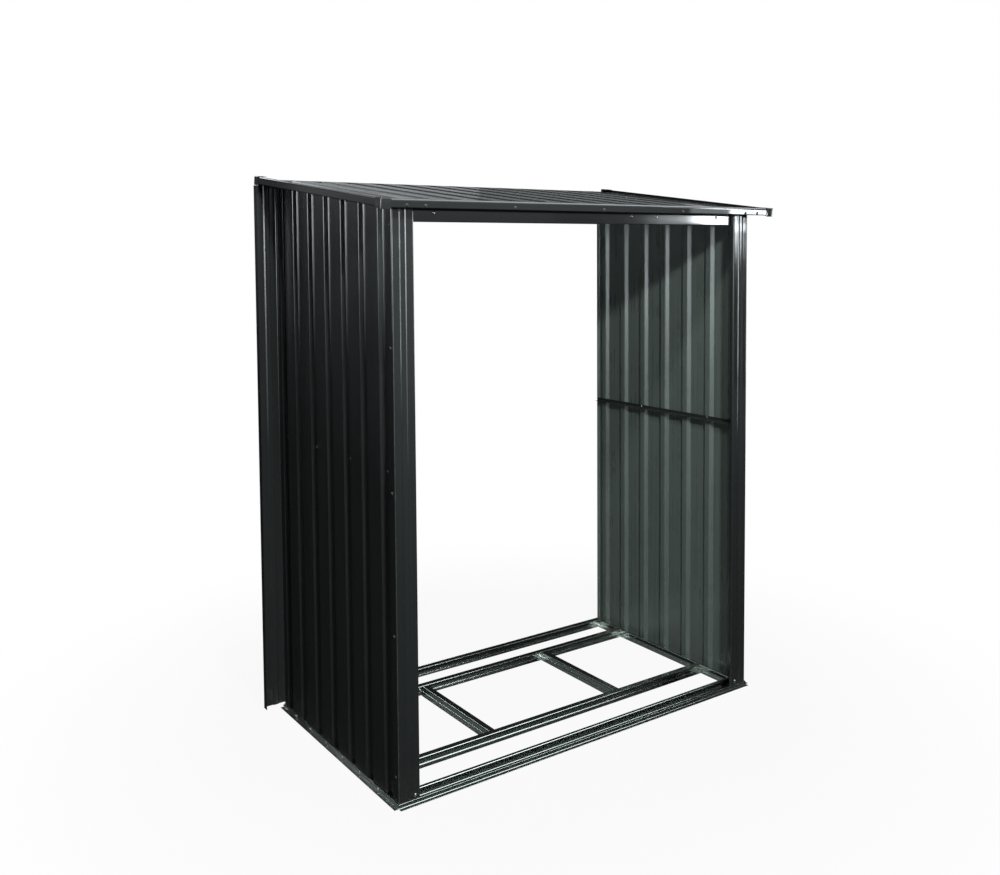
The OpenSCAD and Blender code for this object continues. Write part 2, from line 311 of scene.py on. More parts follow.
def zinc_material(name, colour, cell, rough=(0.150, 0.156)):
    """Galvanised steel: faint crystals of zinc with their own tone and gloss, and dull smears."""
    made, tree, shader = new_material(name)
    place = tree.nodes.new("ShaderNodeTexCoord").outputs["Object"]
    warp = add_node(tree, "ShaderNodeTexNoise", Scale=cell * 1.5, Detail=2.0)
    tree.links.new(place, warp.inputs["Vector"])
    shifted = add_node(tree, "ShaderNodeVectorMath")
    shifted.operation = "MULTIPLY_ADD"
    tree.links.new(warp.outputs["Color"], shifted.inputs[0])
    shifted.inputs[1].default_value = (0.006, 0.006, 0.006)
    tree.links.new(place, shifted.inputs[2])
    crystal = add_node(tree, "ShaderNodeTexVoronoi", Scale=cell)
    tree.links.new(shifted.outputs["Vector"], crystal.inputs["Vector"])
    grey = tree.nodes.new("ShaderNodeSeparateColor")
    tree.links.new(crystal.outputs["Color"], grey.inputs["Color"])
    smear = add_noise(tree, place, 9.0, 2.0)
    scratch = add_noise(tree, place, 420.0, 2.0)
    body = add_mix(tree, grey.outputs["Red"], tint(colour, 0.96), tint(colour, 1.04))
    body = add_mix(tree, add_range(tree, smear, 0.52, 0.78, 0.0, 0.25), body, tint(colour, 0.8))
    # Lighter along the edge mark: wear on cut edges, painted highlight on bends and tab corners
    body = add_mix(tree, add_math(tree, "MULTIPLY", rubbed_edges_and_bend_highlight(tree), 0.35), body, tint(colour, 1.6))
    tree.links.new(body, shader.inputs["Base Color"])
    gloss = add_range(tree, grey.outputs["Green"], 0.0, 1.0, rough[0], rough[1])
    gloss = add_math(tree, "ADD", gloss, add_range(tree, smear, 0.5, 0.8, 0.0, 0.02))
    tree.links.new(gloss, shader.inputs["Roughness"])
    shader.inputs["Metallic"].default_value = 1.0
    relief = add_bump(tree, scratch, 0.0000008)
    relief = add_bump(tree, smear, 0.00001, relief)
    tree.links.new(relief, shader.inputs["Normal"])
    return made


def rubber_material(name):
    """Dull black rubber of the sealing washers."""
    made, tree, shader = new_material(name)
    place = tree.nodes.new("ShaderNodeTexCoord").outputs["Object"]
    speck = add_noise(tree, place, 900.0, 3.0)
    body = add_mix(tree, speck, RUBBER_DARK, RUBBER_PALE)
    tree.links.new(body, shader.inputs["Base Color"])
    tree.links.new(add_range(tree, speck, 0.3, 0.7, 0.6, 0.8), shader.inputs["Roughness"])
    tree.links.new(add_bump(tree, speck, 0.00004), shader.inputs["Normal"])
    return made


wall_coat = coat_material("anthracite_wall", ANTHRACITE, "Z")
post_coat = coat_material("anthracite_post", ANTHRACITE, "Z", POST_GLOSS)
roof_coat = coat_material("anthracite_roof", ANTHRACITE, "Y")
rail_coat = coat_material("anthracite_rail", ANTHRACITE, "X", RAIL_GLOSS)
verge_coat = coat_material("anthracite_verge", ANTHRACITE, "Y", POST_GLOSS)
wall_back_coat = coat_material("grey_back_coat_wall", BACK_COAT, "Z", BACK_GLOSS)
roof_back_coat = coat_material("grey_back_coat_roof", BACK_COAT, "Y", BACK_GLOSS)
galvanised = zinc_material("galvanised_steel", ZINC, 75.0)
zinc_plate = zinc_material("zinc_plated_screw", PLATED, 400.0)
dark_screw = coat_material("anthracite_screw", tint(ANTHRACITE, 1.3), "Z", SCREW_GLOSS)
rubber = rubber_material("rubber_washer")


# Folded sheet

# Levels of the lighter edge mark: wear on cut edges, and a painted highlight on bends, tab corners and cap
# folds
SUPPORT = 0.8
FREE_EDGE = 1.0
BEND_WEAR_AND_HIGHLIGHT = 0.5
BEND_END_WEAR_AND_HIGHLIGHT = 0.15
SUPPORT_WEAR_AND_HIGHLIGHT = 0.02
TAB_WEAR_AND_HIGHLIGHT = 0.15
CAP_FOLD_WEAR_AND_HIGHLIGHT = 0.7
CAP_FACE_WEAR = 0.2


def left_of(direction):
    """Unit vector to the left of a direction in a section."""
    return Vector((-direction.y, direction.x))


def turned(vector, angle):
    """Vector of a section turned anticlockwise."""
    c, s = math.cos(angle), math.sin(angle)
    return Vector((vector.x * c - vector.y * s, vector.x * s + vector.y * c))


def bend_arc(before, corner, after, radius, steps):
    """Arc of (point, left normal, wear and painted highlight) in place of a corner."""
    into = corner - before
    out = after - corner
    room = 0.48 * min(into.length, out.length)
    into.normalize()
    out.normalize()
    angle = math.atan2(into.x * out.y - into.y * out.x, into.dot(out))
    reach = min(radius * math.tan(abs(angle) / 2), room)
    r = reach / math.tan(abs(angle) / 2)
    side = math.copysign(1.0, angle)
    normal = left_of(into)
    centre = corner - into * reach + normal * side * r
    arc = []
    for k in range(steps + 1):
        n = turned(normal, angle * k / steps)
        # Points of the arc get the lighter edge mark as a painted highlight on the bend
        arc.append((centre - n * side * r, n, BEND_WEAR_AND_HIGHLIGHT if 0 < k < steps else BEND_END_WEAR_AND_HIGHLIGHT))
    return arc


def flat_points(start, end, step):
    """Points of the flat between two bends, with one close to each bend so that the flat stays flat."""
    span = end[0] - start[0]
    near = min(SUPPORT / span.length, 0.3)
    count = max(1, round(span.length / step))
    points = [(start[0] + span * near, start[1], SUPPORT_WEAR_AND_HIGHLIGHT)]
    for k in range(1, count):
        if near < k / count < 1 - near:
            points.append((start[0] + span * k / count, start[1], 0.0))
    points.append((end[0] - span * near, start[1], SUPPORT_WEAR_AND_HIGHLIGHT))
    return points


def fold_line(points, radius, steps=5, flat_step=30.0):
    """Middle line of a folded sheet as (point, left normal, wear and painted highlight), with an arc at
    each bend.

    The radius is one number, or a tuple with one for each bend."""
    corners = [Vector(p) for p in points]
    radii = radius if isinstance(radius, tuple) else (radius,) * (len(corners) - 2)
    first = left_of((corners[1] - corners[0]).normalized())
    last = left_of((corners[-1] - corners[-2]).normalized())
    bends = [[(corners[0], first, FREE_EDGE)]]
    for before, corner, after, r in zip(corners, corners[1:], corners[2:], radii):
        bends.append(bend_arc(before, corner, after, r, steps))
    bends.append([(corners[-1], last, FREE_EDGE)])
    line = list(bends[0])
    for bend in bends[1:]:
        line.extend(flat_points(line[-1], bend[0], flat_step))
        line.extend(bend)
    return line


def stations(length, step, edge_band=1.5):
    """Fractions along a length, with a narrow band at each end for the rubbed edge."""
    count = max(2, round(length / step))
    inner = [k / count for k in range(1, count)]
    return [0.0, edge_band / length] + inner + [1 - edge_band / length, 1.0]


def make_object(name, mesh_data, materials, sharp=35.0):
    """Scene object from a bmesh, with smooth faces between sharp edges."""
    bmesh.ops.recalc_face_normals(mesh_data, faces=mesh_data.faces)
    mesh = bpy.data.meshes.new(name)
    mesh_data.to_mesh(mesh)
    mesh_data.free()
    for face in mesh.polygons:
        face.use_smooth = True
    mesh.set_sharp_from_angle(angle=math.radians(sharp))
    for material in materials:
        mesh.materials.append(material)
    made = bpy.data.objects.new(name, mesh)
    bpy.context.scene.collection.objects.link(made)
    return made


def sheet_mesh(line, steel, along, place, wave=0.0, seed=0.0):
    """Closed mesh of a folded sheet; place(u, v, s) gives a point of the section at a fraction along."""
    made = bmesh.new()
    edge = made.verts.layers.float.new("edge")
    rows = []
    for s in along:
        at_end = FREE_EDGE if s in (0.0, 1.0) else 0.0
        row = []
        for point, normal, wear_and_highlight in line:
            shift = 0.0
            if wave and wear_and_highlight == 0.0:
                shift = wave * noise.noise(Vector((point.x / 90.0, s * 7.0, seed)))
            pair = []
            for side in (0.5, -0.5):
                q = point + normal * (steel * side + shift)
                vert = made.verts.new(place(q.x, q.y, s) * MM)
                vert[edge] = max(wear_and_highlight, at_end)
                pair.append(vert)
            row.append(pair)
        rows.append(row)
    last = len(line) - 1
    for here, there in zip(rows, rows[1:]):
        for i in range(last):
            face = made.faces.new((here[i][0], here[i + 1][0], there[i + 1][0], there[i][0]))
            face.material_index = 0
            face = made.faces.new((here[i][1], there[i][1], there[i + 1][1], here[i + 1][1]))
            face.material_index = 1
        for i in (0, last):
            made.faces.new((here[i][0], there[i][0], there[i][1], here[i][1]))
    for row in (rows[0], rows[-1]):
        for i in range(last):
            made.faces.new((row[i][0], row[i][1], row[i + 1][1], row[i + 1][0]))
    return made


def dress(node_name, body, skins):
    """Makes a piece from its mesh and the materials of its skins, in place of its CAD node."""
    obj = make_object(node_name + "_steel", body, skins)
    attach(obj, "root")
    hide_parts(node_name)


def dress_coated(node_name, body, *skins):
    """Puts a coated piece in place of its CAD node."""
    dress(node_name, body, skins)


def dress_zinc(node_name, body):
    """Puts a galvanised piece in place of its CAD node."""
    dress(node_name, body, (galvanised, galvanised))


def mirrored(place):
    """The same placing on the right-hand side."""

    def right(u, v, s):
        p = place(u, v, s)
        return Vector((-p.x, p.y, p.z))

    return right


# Floor frame


def sill_line():
    """One strip of steel: hem, outer web, doubled ground flange, channel, raised part and foot."""
    half = SILL_STEEL / 2
    hem_in = 2 * BEAM_STEEL - half
    top = SILL_WEB_H - half
    raised = SILL_H - half
    return fold_line([
        (hem_in, SILL_WEB_H - SILL_HEM),
        (hem_in, top),
        (half, top),
        (half, BEAM_STEEL - half),
        (half - SILL_FLANGE, BEAM_STEEL - half),
        (half - SILL_FLANGE, half),
        (SILL_CHANNEL + half, half),
        (SILL_CHANNEL + half, raised),
        (SILL_IN - half, raised),
        (SILL_IN - half, half),
        (SILL_ALL, half),
    ], SILL_BENDS, steps=6)


def sill(node_name, length, turn, centre):
    """One mitred sill of the floor frame."""
    reach = length / 2 - FIT
    spin = Matrix.Rotation(math.radians(turn), 3, "Z")

    def place(u, v, s):
        end = reach - max(0.0, u)
        return spin @ Vector(((2 * s - 1) * end, u, v)) + Vector(centre)

    body = sheet_mesh(sill_line(), SILL_STEEL, stations(length, RUN_STEP), place)
    dress_zinc(node_name, body)


def z_line(z0, z1):
    """Z section with its web at the origin, the lower flange to -u and the upper flange to +u."""
    half = BEAM_STEEL / 2
    return fold_line([
        (BEAM_STEEL - BEAM_FLANGE, z0 + half),
        (half, z0 + half),
        (half, z1 - half),
        (BEAM_FLANGE, z1 - half),
    ], BEAM_BEND, steps=6)


def tab(body, start, run, side, z0, z1):
    """Adds an end tab to a beam: a plate with a clipped lower corner that hangs from the upper flange."""
    edge = body.verts.layers.float["edge"]
    width = BEAM_FLANGE - BEAM_STEEL
    top = z1 - BEAM_STEEL / 2
    outline = [(0.0, top), (width, top), (width, z0 + TAB_CLIP), (width - TAB_CLIP, z0), (0.0, z0)]
    loops = []
    for depth in (0.0, BEAM_STEEL):
        loop = []
        for u, z in outline:
            x = start[0] + run[0] * u - side * run[1] * depth
            y = start[1] + run[1] * u - side * run[0] * depth
            vert = body.verts.new(Vector((x, y, z)) * MM)
            # The tab gets the lighter edge mark: a painted highlight, with some wear
            vert[edge] = TAB_WEAR_AND_HIGHLIGHT
            loop.append(vert)
        loops.append(loop)
    body.faces.new(loops[0])
    body.faces.new(reversed(loops[1]))
    count = len(outline)
    for i in range(count):
        j = (i + 1) % count
        body.faces.new((loops[0][i], loops[1][i], loops[1][j], loops[0][j]))


def floor_beam(node_name, y):
    """Beam from side sill to side sill, with a folded tab at each end."""
    half = HALF_W - SILL_IN - FIT

    def place(u, v, s):
        return Vector(((2 * s - 1) * half, y + u, v))

    body = sheet_mesh(z_line(BEAM_Z0, BEAM_Z1), BEAM_STEEL, stations(2 * half, RUN_STEP), place)
    for side in (-1, 1):
        tab(body, (side * half, y + BEAM_STEEL), (0, 1), side, BEAM_Z0, BEAM_Z1)
    dress_zinc(node_name, body)


def cross_beam(node_name, x):
    """Short beam between the two floor beams."""
    y0 = Y_MID - BEAM_SPACING / 2 + BEAM_STEEL + FIT
    y1 = Y_MID + BEAM_SPACING / 2 - FIT

    def place(u, v, s):
        return Vector((x + u, y0 + (y1 - y0) * s, v))

    body = sheet_mesh(z_line(CROSS_Z0, CROSS_Z1), BEAM_STEEL, stations(y1 - y0, RUN_STEP), place)
    tab(body, (x + BEAM_STEEL, y0), (1, 0), -1, CROSS_Z0, CROSS_Z1)
    tab(body, (x + BEAM_STEEL, y1), (1, 0), 1, CROSS_Z0, CROSS_Z1)
    dress_zinc(node_name, body)


def build_floor_frame():
    """Sills, floor beams and cross beams."""
    width = 2 * HALF_W
    depth = Y_BACK - Y_FRONT
    sill("front_sill", width, 0, (0, Y_FRONT, 0))
    sill("back_sill", width, 180, (0, Y_BACK, 0))
    sill("left_sill", depth, -90, (-HALF_W, Y_MID, 0))
    sill("right_sill", depth, 90, (HALF_W, Y_MID, 0))
    floor_beam("front_floor_beam", Y_MID - BEAM_SPACING / 2)
    floor_beam("back_floor_beam", Y_MID + BEAM_SPACING / 2)
    cross_beam("left_cross_beam", -CROSS_SPACING / 2)
    cross_beam("right_cross_beam", CROSS_SPACING / 2)


# Posts


def post_line(leaf, fold, flat_step=30.0):
    """Post section: side leg, leaf with its groove, and a fold at the free edge of the leaf."""
    half = TRIM_STEEL / 2
    return fold_line([
        (half, POST_LEG),
        (half, half),
        (GROOVE_FROM, half),
        (GROOVE_FROM + GROOVE_SLOPE, GROOVE_DEPTH + half),
        ((GROOVE_FROM + GROOVE_TO) / 2, GROOVE_DEPTH + half + GROOVE_CROWN),
        (GROOVE_TO - GROOVE_SLOPE, GROOVE_DEPTH + half),
        (GROOVE_TO, half),
        (leaf - half, half),
        (leaf - half, fold),
    ], POST_BEND, steps=8, flat_step=flat_step)


def upright(z0, z1, s):
    """Height at a fraction along an upright."""
    return z0 + (z1 - z0) * s


def front_post_place(u, v, s):
    """Front left post: leaf across the opening."""
    y = Y_FRONT + POST_IN + v
    return Vector((-HALF_W + POST_IN + u, y, upright(STAND_Z, under_roof(y) - FIT, s)))


def back_post_place(u, v, s):
    """Back left post: the section turned half round, with its leaf outwards and clear of the sill."""
    x = -HALF_W + POST_IN + TRIM_STEEL - u
    y = Y_BACK - POST_IN - v
    foot = WING_Z if u > TRIM_STEEL + FIT else STAND_Z
    top = under_roof(y) - TRIM_DROP - FIT
    if x < -ROOF_W / 2 + CAP_CLEAR:
        top -= CAP_DROP
    return Vector((x, y, upright(foot, top, s)))


def build_posts():
    """The four corner posts."""
    front_line = post_line(POST_LEAF, FRONT_RETURN)
    back_line = post_line(WING_LEAF, POST_RETURN, WING_STEP)
    kinds = (("front", front_line, front_post_place), ("back", back_line, back_post_place))
    for name, line, place in kinds:
        for side, put in (("left", place), ("right", mirrored(place))):
            node_name = name + "_" + side + "_post"
            body = sheet_mesh(line, TRIM_STEEL, stations(POST_RUN, RUN_STEP), put)
            dress_coated(node_name, body, post_coat, post_coat)


# Corrugated sheets


def rib_points(c):
    """Outer line of one rib, from flat to flat."""
    crest = RIB_DEPTH - SHEET_STEEL
    return [
        (c - RIB_HALF, 0.0),
        (c - RIB_CREST / 2, crest),
        (c + RIB_CREST / 2, crest),
        (c + RIB_HALF, 0.0),
    ]


def lap_over(c):
    """Start of a sheet that laps over the rib at c."""
    return [
        (c - RIB_CREST / 2 + LAP_SET, LAP_DEPTH),
        (c + RIB_CREST / 2, LAP_DEPTH),
        (c + RIB_HALF, 0.0),
    ]


def lap_under(c):
    """End of a sheet whose last rib lies under the next sheet."""
    crest = RIB_DEPTH - SHEET_STEEL
    return [
        (c - RIB_HALF, 0.0),
        (c - RIB_CREST / 2, crest),
        (c + RIB_CREST / 2 - LAP_SET, crest),
    ]


def sheet_points(ribs, start=None, end=None):
    """Outer line of a corrugated sheet from its start points to its end points, or lapped on a rib."""
    points = lap_over(ribs[0]) if start is None else start + rib_points(ribs[0])
    for c in ribs[1:-1]:
        points += rib_points(c)
    points += lap_under(ribs[-1]) if end is None else rib_points(ribs[-1]) + end
    return points


def corrugated_line(points):
    """Middle line of a corrugated sheet from its outer line."""
    middle = [(u, v + SHEET_STEEL / 2) for u, v in points]
    return fold_line(middle, RIB_BEND, steps=6, flat_step=RIB_STEP)


def wall_place(u, v, s):
    """Left wall: u runs along Y and v inwards from the outer face."""
    return Vector((-HALF_W + LEAF_IN + v, u, upright(STAND_Z, under_roof(u) - FIT, s)))


def build_walls():
    """Two lapped sheets a side; the coat faces out and the grey back coat faces in."""
    half = SHEET_STEEL / 2
    fold = [(WALL_Y1 - half, 0.0), (WALL_Y1 - half, WALL_FOLD - half)]
    front = corrugated_line(sheet_points(WALL_RIBS[:WALL_SPLIT + 1], start=[(WALL_Y0, 0.0)]))
    back = corrugated_line(sheet_points(WALL_RIBS[WALL_SPLIT:], end=fold))
    for side, put in (("left", wall_place), ("right", mirrored(wall_place))):
        for end, line in (("front", front), ("back", back)):
            node_name = side + "_wall_" + end + "_sheet"
            along = stations(WALL_RUN, WALL_STEP)
            body = sheet_mesh(line, SHEET_STEEL, along, put, WALL_WAVE, len(node_name) * 1.7)
            dress_coated(node_name, body, wall_back_coat, wall_coat)


def roof_place(u, v, s):
    """Roof sheet: u runs along X and v hangs below the flats."""
    return ROOF @ Vector((u, (s - 0.5) * SHEET_LEN, RIB_ALL - v))


def build_roof():
    """Three lapped roof sheets with their flats on top, coated outside."""
    first, second = ROOF_SPLITS
    sheets = {
        "roof_left_sheet": sheet_points(ROOF_RIBS[:first + 1], start=[(-SHEET_HALF, 0.0)]),
        "roof_middle_sheet": sheet_points(ROOF_RIBS[first:second + 1]),
        "roof_right_sheet": sheet_points(ROOF_RIBS[second:], end=[(SHEET_HALF, 0.0)]),
    }
    for node_name, points in sheets.items():
        line = corrugated_line(points)
        along = stations(SHEET_LEN, ROOF_STEP)
        body = sheet_mesh(line, SHEET_STEEL, along, roof_place, ROOF_WAVE, len(node_name) * 2.3)
        dress_coated(node_name, body, roof_back_coat, roof_coat)


# Rails and headers


def mid_rail_place(u, v, s):
    """Left mid rail: u inwards from the ribs, v upwards."""
    length = WALL_Y1 - WALL_Y0 - MID_RAIL_SET
    return Vector((-HALF_W + WALL_IN + u, WALL_Y0 + length * s, MID_RAIL_Z - MID_RAIL_W / 2 + v))


def top_rail_place(u, v, s):
    """Left top rail under the roof sheets: u inwards from the ribs, v below the roof."""
    y1 = BACK_HEADER_Y - HEADER_D - FIT
    y = WALL_Y0 + (y1 - WALL_Y0) * s
    return Vector((-HALF_W + WALL_IN + u, y, under_roof(y) - FIT + v))


def build_rails():
    """Angles that tie the ribs of each wall together."""
    half = TRIM_STEEL / 2
    mid = fold_line([(half, MID_RAIL_W), (half, half), (MID_RAIL_W, half)], RAIL_BEND)
    top = fold_line([(half, -TOP_RAIL_W), (half, -half), (TOP_RAIL_W, -half)], RAIL_BEND)
    for kind, line, place in (("mid", mid, mid_rail_place), ("top", top, top_rail_place)):
        for side, put in (("left", place), ("right", mirrored(place))):
            node_name = side + "_" + kind + "_rail"
            body = sheet_mesh(line, TRIM_STEEL, stations(RAIL_RUN, RUN_STEP), put)
            dress_coated(node_name, body, verge_coat, verge_coat)


def header(node_name, half_length, face_y, inwards):
    """Channel under the roof, open on the inside of the store."""
    half = TRIM_STEEL / 2
    face_z = under_roof(face_y) - HEADER_H
    back_y = face_y + inwards * HEADER_D

    def top(y):
        return under_roof(y) - FIT - half

    line = fold_line([
        (back_y, top(back_y)),
        (face_y + inwards * half, top(face_y)),
        (face_y + inwards * half, face_z + half),
        (back_y, face_z + half),
    ], HEADER_BEND)

    def place(u, v, s):
        return Vector(((2 * s - 1) * half_length, u, v))

    body = sheet_mesh(line, TRIM_STEEL, stations(2 * half_length, RUN_STEP), place)
    dress_coated(node_name, body, rail_coat, rail_coat)


def build_headers():
    """Front and back headers."""
    header("front_header", HEADER_HALF, HEADER_Y, 1)
    header("back_header", BACK_HEADER_HALF, BACK_HEADER_Y, -1)


# Roof trims


def trim_line():
    """Channel of the front and side trims: upper flange, face and lower lip."""
    half = TRIM_STEEL / 2
    return fold_line([
        (FASCIA_TOP, TRIM_TOP - half),
        (half, TRIM_TOP - half),
        (half, half - TRIM_DROP),
        (FASCIA_LIP, half - TRIM_DROP),
    ], TRIM_BENDS, steps=8)


def back_trim_line():
    """Angle of the back trim, level with the flats of the sheets."""
    half = TRIM_STEEL / 2
    return fold_line([
        (half, RIB_ALL),
        (half, half - TRIM_DROP),
        (FASCIA_LIP, half - TRIM_DROP),
    ], BACK_TRIM_BEND)


def fascia_place(u, v, s):
    """Front fascia, in the roof's frame."""
    return ROOF @ Vector(((s - 0.5) * ROOF_W, u - ROOF_LEN / 2, v))


def back_fascia_place(u, v, s):
    """Back fascia, in the roof's frame."""
    return ROOF @ Vector(((s - 0.5) * ROOF_W, ROOF_LEN / 2 - u, v))


def verge_place(u, v, s):
    """Left verge trim between the two fascias."""
    length = ROOF_LEN - 2 * (FASCIA_TOP + FIT)
    return ROOF @ Vector((u - ROOF_W / 2, (s - 0.5) * length, v))


def corner_cap(node_name, side_x, side_y):
    """Pressed cap over a roof corner: top plate and two skirts with rounded folds."""
    low = Vector((-ROOF_W / 2 - CAP_OUT, -ROOF_LEN / 2 - CAP_OUT, -TRIM_DROP - CAP_DROP))
    high = Vector((low.x + CAP_LEN, low.y + CAP_LEN, TRIM_TOP + CAP_OUT))
    body = bmesh.new()
    edge = body.verts.layers.float.new("edge")
    bmesh.ops.create_cube(body, size=1.0)
    for vert in body.verts:
        vert.co = Vector(high[k] if vert.co[k] > 0 else low[k] for k in range(3))
    folds = []
    for e in body.edges:
        touching = 0
        for k, value in enumerate((low.x, low.y, high.z)):
            touching += all(abs(v.co[k] - value) < 1e-6 for v in e.verts)
        if touching == 2:
            folds.append(e)
    bmesh.ops.bevel(body, geom=folds, offset=CAP_BEND, segments=4, profile=0.5, affect="EDGES")
    body.normal_update()
    opened = [f for f in body.faces if max(f.normal.x, f.normal.y, -f.normal.z) > 0.99]
    bmesh.ops.delete(body, geom=opened, context="FACES")
    bmesh.ops.recalc_face_normals(body, faces=body.faces)
    middle = (low + high) / 2
    if sum(f.normal.dot(f.calc_center_median() - middle) for f in body.faces) < 0:
        bmesh.ops.reverse_faces(body, faces=body.faces)
    bmesh.ops.solidify(body, geom=body.faces[:], thickness=TRIM_STEEL)
    flip = Matrix.Diagonal((side_x, side_y, 1.0, 1.0))
    for vert in body.verts:
        near = min(abs(vert.co.x - low.x), abs(vert.co.y - low.y), abs(vert.co.z - high.z))
        on_fold = near > 0.05 or abs(vert.co.z - low.z) < 0.1
        # Folds get the lighter edge mark as a painted highlight, the lower edge gets it as wear, and the
        # faces get a little wear
        vert[edge] = CAP_FOLD_WEAR_AND_HIGHLIGHT if on_fold else CAP_FACE_WEAR
        vert.co = ROOF @ (flip @ vert.co) * MM
    dress_coated(node_name, body, rail_coat)


def build_trims():
    """Fascias, verge trims and corner caps."""
    fascias = (
        ("front_fascia", trim_line(), fascia_place),
        ("back_fascia", back_trim_line(), back_fascia_place),
    )
    for node_name, line, place in fascias:
        body = sheet_mesh(line, TRIM_STEEL, stations(ROOF_W, RUN_STEP), place)
        dress_coated(node_name, body, rail_coat, rail_coat)
    verges = (("left_verge_trim", verge_place), ("right_verge_trim", mirrored(verge_place)))
    for node_name, place in verges:
        body = sheet_mesh(trim_line(), TRIM_STEEL, stations(ROOF_LEN, RUN_STEP), place)
        dress_coated(node_name, body, verge_coat, verge_coat)
    corner_cap("front_left_corner_cap", 1, 1)
    corner_cap("front_right_corner_cap", -1, 1)
    corner_cap("back_left_corner_cap", 1, -1)
    corner_cap("back_right_corner_cap", -1, -1)


# Screws

RING_POINTS = 24
HEAD_R = 3.9
WASHER_R = 5.6
CROSS_ARM = 2.1
CROSS_HALF = 0.55
HEAD_WEAR = 0.5
WASHER_WEAR = 0.1
HEAD_FROM = 1.6

# Where the screws stand: heights, set-backs and places along their rows
SILL_SCREW_Z = 7.2
TOP_SCREW_DROP = 13.0
MID_SCREW_RISE = 0.5
LEG_SCREW_SET = 16.0
LEG_SCREWS_Z = (90.0, 520.0, 950.0, 1380.0, 1740.0)
WING_SCREW_OUT = 62.0
WING_SCREWS_Z = (90.0, MID_RAIL_Z, 1780.0)
FOOT_SCREW_SET = 57.0
FOOT_SCREW_Z = 26.0
HEADER_SCREW_DROP = 21.0
HEADER_SCREWS_X = (-608.0, 190.0, 306.0, 608.0)
BACK_SCREW_DROP = 27.0
BACK_SCREWS_X = (-640.0, 0.0, 640.0)
ROOF_SCREW_SET = 76.0
FASCIA_SCREWS_X = (-744.0, -681.0, -360.0, 0.0, 360.0, 681.0, 744.0)
FASCIA_SCREW_Z = 4.5
BACK_FASCIA_SCREW_Z = 8.0


def cross_outline():
    """Outline of the cross recess, with as many points as a ring of the head."""
    a, h = CROSS_ARM, CROSS_HALF
    quarter = [(a, -h), (a, h), (h, h)]
    corners = []
    for k in range(4):
        for p in quarter:
            corners.append(turned(Vector(p), k * math.pi / 2))
    points = []
    for i, p in enumerate(corners):
        points.append(p)
        points.append((p + corners[(i + 1) % len(corners)]) / 2)
    return points


def ring(radius):
    """Points of a ring of the head, in step with the cross outline."""
    step = 360.0 / RING_POINTS
    angles = [math.radians(step * (k - 1)) for k in range(RING_POINTS)]
    return [Vector((radius * math.cos(a), radius * math.sin(a))) for a in angles]


def screw_loops():
    """Loops of a pan-head screw on its washer as (points, height, material), recess first."""
    cross = cross_outline()
    deep = [p * 0.75 for p in cross]
    head = [
        (deep, 1.5, 0),
        (cross, 2.95, 0),
        (ring(2.7), 2.85, 0),
        (ring(3.4), 2.45, 0),
        (ring(HEAD_R), 1.7, 0),
        (ring(HEAD_R), 0.9, 0),
    ]
    washer = [
        (ring(4.4), 0.8, 1),
        (ring(WASHER_R - 0.4), 0.75, 1),
        (ring(WASHER_R), 0.45, 1),
        (ring(WASHER_R), 0.0, 1),
    ]
    return head + washer


def add_screw(body, seat, axis, spin):
    """Adds one screw that stands on a seat along an axis."""
    edge = body.verts.layers.float["edge"]
    turn = Vector((0, 0, 1)).rotation_difference(Vector(axis).normalized()).to_matrix()
    turn = turn @ Matrix.Rotation(spin, 3, "Z")
    made = []
    for loop, z, kind in screw_loops():
        row = []
        for p in loop:
            vert = body.verts.new((turn @ Vector((p.x, p.y, z)) + Vector(seat)) * MM)
            vert[edge] = HEAD_WEAR if z > HEAD_FROM else WASHER_WEAR
            row.append(vert)
        made.append((row, kind))
    body.faces.new(made[0][0])
    for (low, _), (high, kind) in zip(made, made[1:]):
        for i in range(RING_POINTS):
            j = (i + 1) % RING_POINTS
            face = body.faces.new((low[i], low[j], high[j], high[i]))
            face.material_index = kind
    body.faces.new(reversed(made[-1][0]))


def screw_set(name, spots, material):
    """All the screws of one row as a single piece."""
    body = bmesh.new()
    body.verts.layers.float.new("edge")
    for k, (seat, axis) in enumerate(spots):
        add_screw(body, seat, axis, 0.7 * k + 0.3)
    made = make_object(name, body, [material, rubber], 30.0)
    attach(made, "root")


def both_sides(spots):
    """The left-hand spots and the same spots on the right."""
    right = [((-p[0], p[1], p[2]), (-n[0], n[1], n[2])) for p, n in spots]
    return spots + right


def build_wall_screws():
    """Screws of the walls at the sills and rails."""
    out = (-1, 0, 0)
    flats = [(a + b) / 2 for a, b in zip(WALL_RIBS, WALL_RIBS[1:])]
    foot = [((-HALF_W, y, SILL_SCREW_Z), out) for y in flats]
    screw_set("side_sill_screws", both_sides(foot), zinc_plate)

    groove_x = -HALF_W + LEAF_IN + RIB_DEPTH - SHEET_STEEL
    rail = [((groove_x, y, MID_RAIL_Z), out) for y in WALL_RIBS[::2]]
    rail += [((groove_x, y, under_roof(y) - TOP_SCREW_DROP), out) for y in WALL_RIBS[::2]]
    screw_set("wall_rail_screws", both_sides(rail), dark_screw)

    rail_x = -HALF_W + WALL_IN + TRIM_STEEL
    inner = [((rail_x, y, MID_RAIL_Z + MID_SCREW_RISE), (1, 0, 0)) for y in WALL_RIBS[1::3]]
    screw_set("mid_rail_screws", both_sides(inner), zinc_plate)


